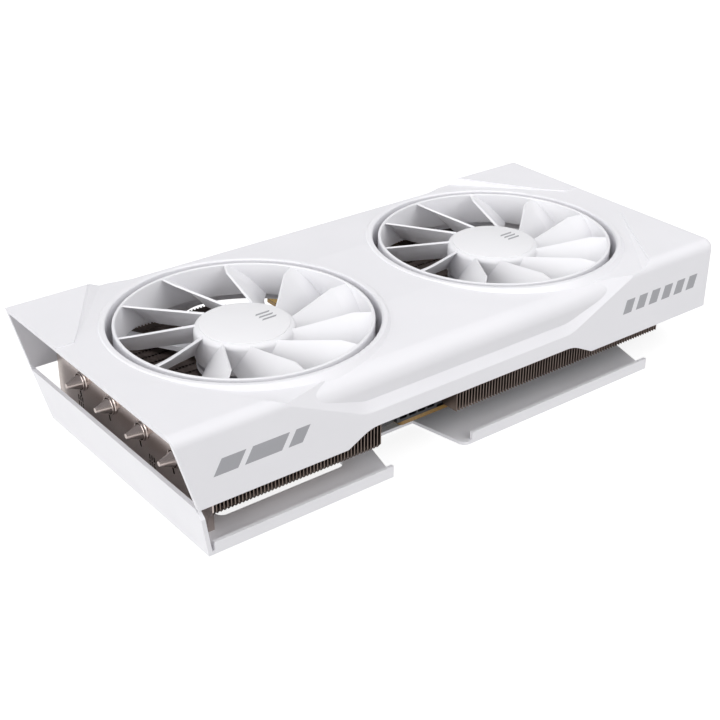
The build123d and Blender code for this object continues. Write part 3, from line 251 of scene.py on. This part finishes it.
class Shell:
    """Points and faces of one piece, gathered shape by shape."""

    def __init__(self):
        self.points, self.faces = [], []

    def loops(self, rings, closed=True, capped=False):
        """Skin between rings of equal length; closed joins the last ring to the first."""
        start, count = len(self.points), len(rings[0])
        for ring in rings:
            self.points.extend(ring)
        spans = len(rings) if closed else len(rings) - 1
        for i in range(spans):
            a, b = start + i * count, start + (i + 1) % len(rings) * count
            for j in range(count):
                k = (j + 1) % count
                self.faces.append((a + j, a + k, b + k, b + j))
        if capped:
            last = start + (len(rings) - 1) * count
            self.faces.append(tuple(range(start, start + count)))
            self.faces.append(tuple(range(last, last + count)))

    def lathe(self, profile, centre, segments=144, axis="Z"):
        """Turn a closed profile of (radius, height) about an axis through centre."""
        rings = []
        for i in range(segments):
            angle = 2 * math.pi * i / segments
            c, w = math.cos(angle), math.sin(angle)
            if axis == "Z":
                rings.append([(centre[0] + r * c, centre[1] + r * w, centre[2] + h) for r, h in profile])
            else:
                rings.append([(centre[0] + h, centre[1] + r * c, centre[2] + r * w) for r, h in profile])
        self.loops(rings)

    def block(self, low, high):
        """Box between two corners."""
        (x0, y0, z0), (x1, y1, z1) = low, high
        self.loops([[(x0, y0, z0), (x1, y0, z0), (x1, y1, z0), (x0, y1, z0)],
                    [(x0, y0, z1), (x1, y0, z1), (x1, y1, z1), (x0, y1, z1)]], closed=False, capped=True)

    def plate(self, outline, low, high):
        """Flat outline of (x, y, z) points pushed from offset low to offset high."""
        self.loops([[tuple(p[i] + low[i] for i in range(3)) for p in outline],
                    [tuple(p[i] + high[i] for i in range(3)) for p in outline]], closed=False, capped=True)


def arc(centre, radius, start, end, steps):
    """Points of an arc, angles in degrees."""
    turns = [math.radians(start + (end - start) * i / steps) for i in range(steps + 1)]
    return [(centre[0] + radius * math.cos(t), centre[1] + radius * math.sin(t)) for t in turns]


def corners(node):
    """A CAD node's box in millimetres."""
    low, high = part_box(node)
    return low / MM, high / MM


# ------------------------------------------------------------------ fan rotors
BLADES = 11
HUB_R, RING_OUT, RING_IN = 18.0, 45.7, 44.5
KINK_R, HUB_SWEEP = 38.0, math.radians(19.3)
ROOT_R = 17.0                # leading edges start inside the hub
BLADE_TIP_R = 44.9
BLADE_TOP, BLADE_FOOT, BLADE_RISE = 43.3, 33.9, 2.6
HUB_CROWN = 43.4
RING_FOOT, RING_ROUND_Z = 33.2, 45.7
CAP_TOP = 43.7
BLADE_STEPS = 12
PHASES = {"tail": 0.2, "head": -6.3}        # first blade tip, degrees


def blade_lead(radius):
    """Angle of the leading edge behind its tip: straight in plan up to the kink, then radial."""
    if radius >= KINK_R:
        return 0.0
    foot = (ROOT_R * math.cos(HUB_SWEEP), -ROOT_R * math.sin(HUB_SWEEP))
    t = (radius - ROOT_R) / (KINK_R - ROOT_R)
    x, y = foot[0] + (KINK_R - foot[0]) * t, foot[1] * (1 - t)
    return math.atan2(y, x)


def blade_section(radius):
    """Closed section across the blade: (distance along the rim, height) pairs."""
    t = (radius - HUB_R) / (RING_OUT - HUB_R)
    rise = min(1.0, max(0.0, (radius - HUB_R) / (KINK_R - HUB_R)))
    top, foot = BLADE_TOP + BLADE_RISE * rise, BLADE_FOOT
    width = 7.0 + 8.5 * t
    sheet = 1.15 - 0.35 * t
    belly = 0.9 + 0.9 * t
    upper, lower = [], []
    for i in range(BLADE_STEPS + 1):
        s = i / BLADE_STEPS
        along = -width * s
        height = top + (foot - top) * s
        bow = 4 * belly * s * (1 - s)
        slope = math.atan2(foot - top, -width)
        out = (math.sin(slope), -math.cos(slope))
        upper.append((along + out[0] * -bow * 0.5, height + bow))
        half = sheet * (0.75 + 0.25 * math.sin(math.pi * s))
        lower.append((along + half, height + bow - half * 0.55))
    return upper + lower[::-1]


def rotor(side):
    """One fan's moulding, hub disc and hub mark, in place of the CAD rotor and cap."""
    low, high = corners(f"{side}_fan_rotor")
    centre = ((low.x + high.x) / 2, (low.y + high.y) / 2, 0.0)
    shell = Shell()
    hub = ([(0.0, 41.9), (16.5, 41.9), (16.5, 31.6), (17.6, 31.6), (HUB_R, 32.0), (HUB_R, 41.4)]
           + arc((HUB_R - 2.0, 41.4), 2.0, 0, 90, 8)[1:] + [(0.0, HUB_CROWN)])
    shell.lathe(hub, centre)
    ring = ([(RING_IN, RING_FOOT + 0.3), (RING_IN + 0.3, RING_FOOT),
             (RING_OUT - 0.3, RING_FOOT), (RING_OUT, RING_FOOT + 0.3)]
            + arc((RING_OUT - 0.5, RING_ROUND_Z), 0.5, 0, 90, 5)
            + arc((RING_IN + 0.5, RING_ROUND_Z), 0.5, 90, 180, 5))
    shell.lathe(ring, centre, 192)
    root = ROOT_R + 0.3
    stations = [root + (BLADE_TIP_R - root) * i / 30 for i in range(31)] + [KINK_R]
    for number in range(BLADES):
        tip = math.radians(PHASES[side] + 360.0 * number / BLADES)
        loops = []
        for radius in sorted(stations):
            loop = []
            for along, height in blade_section(radius):
                angle = tip + blade_lead(radius) + along / radius
                loop.append((centre[0] + radius * math.cos(angle),
                             centre[1] + radius * math.sin(angle), height))
            loops.append(loop)
        shell.loops(loops, closed=False, capped=True)
    piece(f"{side}_rotor_moulding", shell.points, shell.faces, "fan_plastic", f"{side}_rotor",
          [f"{side}_fan_rotor"], 40)

    cap = Shell()
    cap.lathe([(0.0, 43.42), (16.0, 43.42)] + arc((15.8, 43.5), 0.2, 0, 90, 3) + [(0.0, CAP_TOP)], centre)
    piece(f"{side}_hub_disc", cap.points, cap.faces, "cap_plastic", f"{side}_rotor", [f"{side}_hub_cap"])

    mark = Shell()
    for shift in (-2.2, 0.0, 2.2):
        bar = ((-3.4, -0.5), (2.4, -0.5), (3.4, 0.5), (-2.4, 0.5))
        outline = [(centre[0] + 9.0 + x, shift + y, CAP_TOP) for x, y in bar]
        mark.plate(outline, (0, 0, -0.05), (0, 0, 0.03))
    piece(f"{side}_hub_mark", mark.points, mark.faces, "mark", f"{side}_rotor")


for fan_side in ("tail", "head"):
    rotor(fan_side)


# ------------------------------------------------------------------ folded lips of the fins
FIN_PITCH, FIN_SHEET = 1.4, 0.4
TAB_PITCH, TAB_SHEET = 4.6, 0.22


def fin_lips(node, name, spans):
    """Short folded tabs that space each fin from the next, along the top and the foot."""
    low, high = corners(node)
    shell = Shell()
    count = int(round((high.x - low.x - FIN_SHEET) / FIN_PITCH))
    for number in range(count):
        x = low.x + number * FIN_PITCH
        for start, end, height in spans:
            tabs = max(1, int((end - start) / TAB_PITCH))
            step = (end - start) / tabs
            for tab in range(tabs):
                y = start + step * tab
                shell.block((x + FIN_SHEET - 0.02, y + 0.4, height - TAB_SHEET),
                            (x + FIN_PITCH - 0.05, y + step - 0.8, height))
    piece(name, shell.points, shell.faces, "fin", "card")


fin_lips("tail_fins", "tail_fin_lips", ((-52.6, 50.2, 26.6), (-48.5, 50.2, 10.92)))
fin_lips("head_fins", "head_fin_lips", ((-52.6, 53.0, 26.6), (48.5, 53.0, 13.62)))

# ------------------------------------------------------------------ pipe collars on the end fin
PIPE_Y, PIPE_Z = (-31.8, -10.6, 10.6, 31.8), 22.6
COLLAR = [(3.06, 0.1), (3.06, -1.0), (3.25, -1.05), (3.4, -0.9), (3.5, -0.25), (3.9, 0.0), (3.9, 0.1)]

collars = Shell()
end_fin_face = corners("tail_end_fin")[0].x
for pipe_y in PIPE_Y:
    collars.lathe(COLLAR, (end_fin_face, pipe_y, PIPE_Z), 48, "X")
piece("pipe_collars", collars.points, collars.faces, "nickel", "card")

# ------------------------------------------------------------------ plain printed bars on the near wall
NEAR_WALL_Y = -56.5
TAIL_BARS = ((-110.0, 9.0), (-98.5, 14.0), (-82.0, 5.5))    # start and width along X
HEAD_BARS = [(73.0 + 7.2 * number, 4.6) for number in range(6)]

marks = Shell()
for bars, foot, lean in ((TAIL_BARS, 28.3, 3.2), (HEAD_BARS, 28.6, 1.6)):
    for start, width in bars:
        outline = [(start, NEAR_WALL_Y, foot), (start + width, NEAR_WALL_Y, foot),
                   (start + width + lean, NEAR_WALL_Y, foot + 5.6), (start + lean, NEAR_WALL_Y, foot + 5.6)]
        marks.plate(outline, (0, 0.05, 0), (0, -0.02, 0))
piece("side_marks", marks.points, marks.faces, "mark", "card")


# ------------------------------------------------------------------ studio
FLOOR_REACH, FLOOR_Z = 4.0, -0.0004
DOME_ROWS, DOME_STEPS = 8, 24


def paper(name, base, glow):
    """Seamless studio paper, a little brighter than its own shading."""
    s = Shader(name)
    tone = s.ramp(s.noise(0.4), ((0.3, (base, base, base)), (0.7, (base + 0.02,) * 3)))
    s.link(tone, s.bsdf.inputs["Base Color"])
    s.set(Roughness=0.9, Emission_Color=(1.0, 1.0, 1.0, 1.0), Emission_Strength=glow)
    return s.material


def stage(name, vertices, faces, look):
    """Part of the studio: the camera sees it, but it throws no light on the card."""
    mesh = bpy.data.meshes.new(name)
    mesh.from_pydata(vertices, [], faces)
    mesh.materials.append(look)
    made = bpy.data.objects.new(name, mesh)
    scene.collection.objects.link(made)
    made.visible_diffuse = False
    return made


stage("floor", [(-FLOOR_REACH, -FLOOR_REACH, FLOOR_Z), (FLOOR_REACH, -FLOOR_REACH, FLOOR_Z),
                (FLOOR_REACH, FLOOR_REACH, FLOOR_Z), (-FLOOR_REACH, FLOOR_REACH, FLOOR_Z)],
      [(0, 1, 2, 3)], paper("floor", 0.36, 0.82))

def dome_point(row, column):
    """Point of the backdrop, by its row above the floor and its column around it."""
    up, turn = math.pi / 2 * row / DOME_ROWS, 2 * math.pi * column / DOME_STEPS
    reach = 0.9 * FLOOR_REACH * math.cos(up)
    return reach * math.cos(turn), reach * math.sin(turn), FLOOR_REACH * math.sin(up)


dome_points = [dome_point(row, column) for row in range(DOME_ROWS) for column in range(DOME_STEPS)]
dome_faces = []
for row in range(DOME_ROWS - 1):
    for column in range(DOME_STEPS):
        this, beside = row * DOME_STEPS + column, row * DOME_STEPS + (column + 1) % DOME_STEPS
        dome_faces.append((this, beside, beside + DOME_STEPS, this + DOME_STEPS))
backdrop = stage("backdrop", dome_points, dome_faces, paper("backdrop", 0.0, 1.0))
backdrop.visible_shadow = False
backdrop.visible_glossy = False


def sun_light(name, direction, energy, angle):
    """Soft light along a direction, its disc angle degrees across."""
    data = bpy.data.lights.new(name, "SUN")
    data.energy = energy
    data.angle = math.radians(angle)
    lamp = bpy.data.objects.new(name, data)
    lamp.rotation_euler = Vector(direction).to_track_quat("-Z", "Y").to_euler()
    scene.collection.objects.link(lamp)


sun_light("front_key", (-0.35, 0.7, -0.6), 1.0, 50)
sun_light("left_fill", (0.95, 0.1, -0.3), 1.8, 50)
sun_light("ceiling", (0.1, 0.0, -1.0), 0.6, 60)

world = bpy.data.worlds.new("studio")
world.use_nodes = True
world.node_tree.nodes["Background"].inputs["Color"].default_value = (1.0, 1.0, 1.0, 1.0)
world.node_tree.nodes["Background"].inputs["Strength"].default_value = 0.5
scene.world = world
scene.view_settings.view_transform = "Standard"

camera_data = bpy.data.cameras.new("camera")
camera_data.sensor_width = 36.0
camera_data.lens = 67.2
camera_data.clip_start = 0.01
camera = bpy.data.objects.new("camera", camera_data)
YAW, PITCH, ROLL = math.radians(38.02), math.radians(28.24), math.radians(0.26)
aim = (Matrix.Rotation(-YAW, 4, "Z") @ Matrix.Rotation(math.pi / 2 - PITCH, 4, "X")
       @ Matrix.Rotation(ROLL, 4, "Z"))
camera.matrix_world = Matrix.Translation((-0.28709, -0.35533, 0.25425)) @ aim
scene.collection.objects.link(camera)
scene.camera = camera
